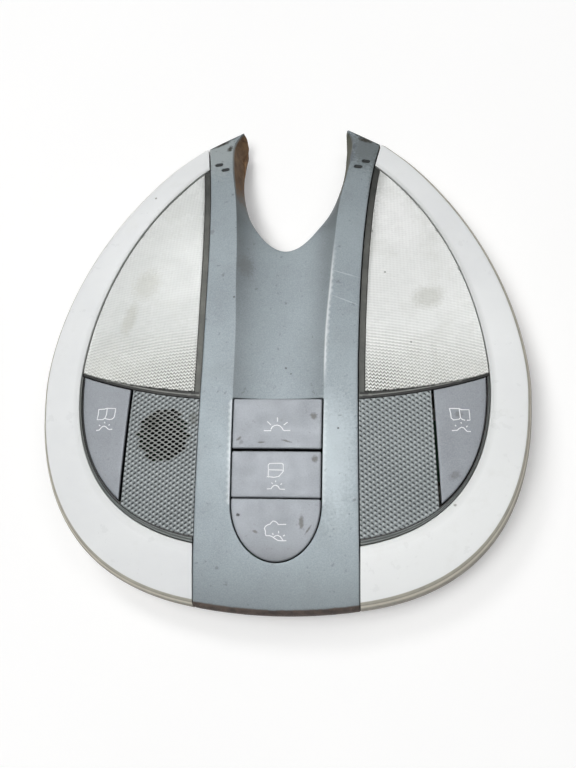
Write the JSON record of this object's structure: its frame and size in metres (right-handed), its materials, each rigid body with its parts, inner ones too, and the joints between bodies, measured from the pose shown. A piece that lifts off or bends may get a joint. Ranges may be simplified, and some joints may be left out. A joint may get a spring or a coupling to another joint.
{
  "type": "car interior light",
  "caption": "Overhead console lamp with crowned face, light rings, prism lenses, grilles and sprung push buttons around a mirror notch.",
  "frame": {"origin": "centre of the bounding box, on the flat back of the housing", "axes": "+Z out of the lit face, +Y towards the arms that straddle the mirror stem, +X to the right of the face"},
  "size_m": [0.2044, 0.2166, 0.0357],
  "materials": {
    "housing_plastic": "moulded, slightly yellowed",
    "bezel_paint": "satin blue-grey paint on plastic",
    "opal_plastic": "glossy opal white",
    "clear_plastic": "clear with fine prisms",
    "shield_plastic": "dark, dull",
    "grille_plastic": "painted, dimpled",
    "button_paint": "satin lavender-grey paint",
    "ivory_plastic": "moulded",
    "dark_plastic": "moulded",
    "board_laminate": "solder mask",
    "mirror_metal": "bright",
    "bulb_glass": "clear glass",
    "contact_metal": "bright",
    "spring_steel": "plated",
    "screw_steel": "zinc plated",
    "rubber_boot": "soft black"
  },
  "bodies": {
    "lamp_unit": {"housing": "housing_plastic", "bezel": "bezel_paint", "left_ring": "opal_plastic", "right_ring": "opal_plastic", "left_lens": "clear_plastic", "right_lens": "clear_plastic", "left_light_shield": "shield_plastic", "right_light_shield": "shield_plastic", "left_grille": "grille_plastic", "right_grille": "grille_plastic", "dome_switch": "dark_plastic", "door_switch": "dark_plastic", "rear_switch": "dark_plastic", "left_switch": "dark_plastic", "right_switch": "dark_plastic", "circuit_board": "board_laminate", "connector_shell": "dark_plastic", "connector_pins": "contact_metal", "left_reflector": "mirror_metal", "right_reflector": "mirror_metal", "left_reading_bulb": "bulb_glass", "right_reading_bulb": "bulb_glass", "left_bulb_holder": "dark_plastic", "right_bulb_holder": "dark_plastic", "left_ring_bulb": "bulb_glass", "right_ring_bulb": "bulb_glass", "left_inner_contact": "contact_metal", "left_outer_contact": "contact_metal", "right_inner_contact": "contact_metal", "right_outer_contact": "contact_metal", "microphone": "mirror_metal", "microphone_boot": "rubber_boot", "left_clip": "spring_steel", "right_clip": "spring_steel", "rear_left_clip": "spring_steel", "rear_right_clip": "spring_steel", "board_screw_1": "screw_steel", "board_screw_2": "screw_steel", "board_screw_3": "screw_steel", "board_screw_4": "screw_steel", "bezel_screw_1": "screw_steel", "bezel_screw_2": "screw_steel", "bezel_screw_3": "screw_steel", "bezel_screw_4": "screw_steel"},
    "dome_key": {"dome_button": "button_paint", "dome_plunger": "ivory_plastic"},
    "door_key": {"door_button": "button_paint", "door_plunger": "ivory_plastic"},
    "rear_key": {"rear_button": "button_paint", "rear_plunger": "ivory_plastic"},
    "left_key": {"left_button": "button_paint", "left_plunger": "ivory_plastic"},
    "right_key": {"right_button": "button_paint", "right_plunger": "ivory_plastic"}
  },
  "joints": [
    {"name": "dome_press", "type": "slide", "parent": "lamp_unit", "child": "dome_key", "axis": [0, 0, -1], "range_m": [0, 0.0012], "stiffness_N_per_m": 1500},
    {"name": "door_press", "type": "slide", "parent": "lamp_unit", "child": "door_key", "axis": [0, 0, -1], "range_m": [0, 0.0012], "stiffness_N_per_m": 1500},
    {"name": "rear_press", "type": "slide", "parent": "lamp_unit", "child": "rear_key", "axis": [0, 0, -1], "range_m": [0, 0.0012], "stiffness_N_per_m": 1500},
    {"name": "left_press", "type": "slide", "parent": "lamp_unit", "child": "left_key", "axis": [0, 0, -1], "range_m": [0, 0.0012], "stiffness_N_per_m": 1500},
    {"name": "right_press", "type": "slide", "parent": "lamp_unit", "child": "right_key", "axis": [0, 0, -1], "range_m": [0, 0.0012], "stiffness_N_per_m": 1500}
  ]
}
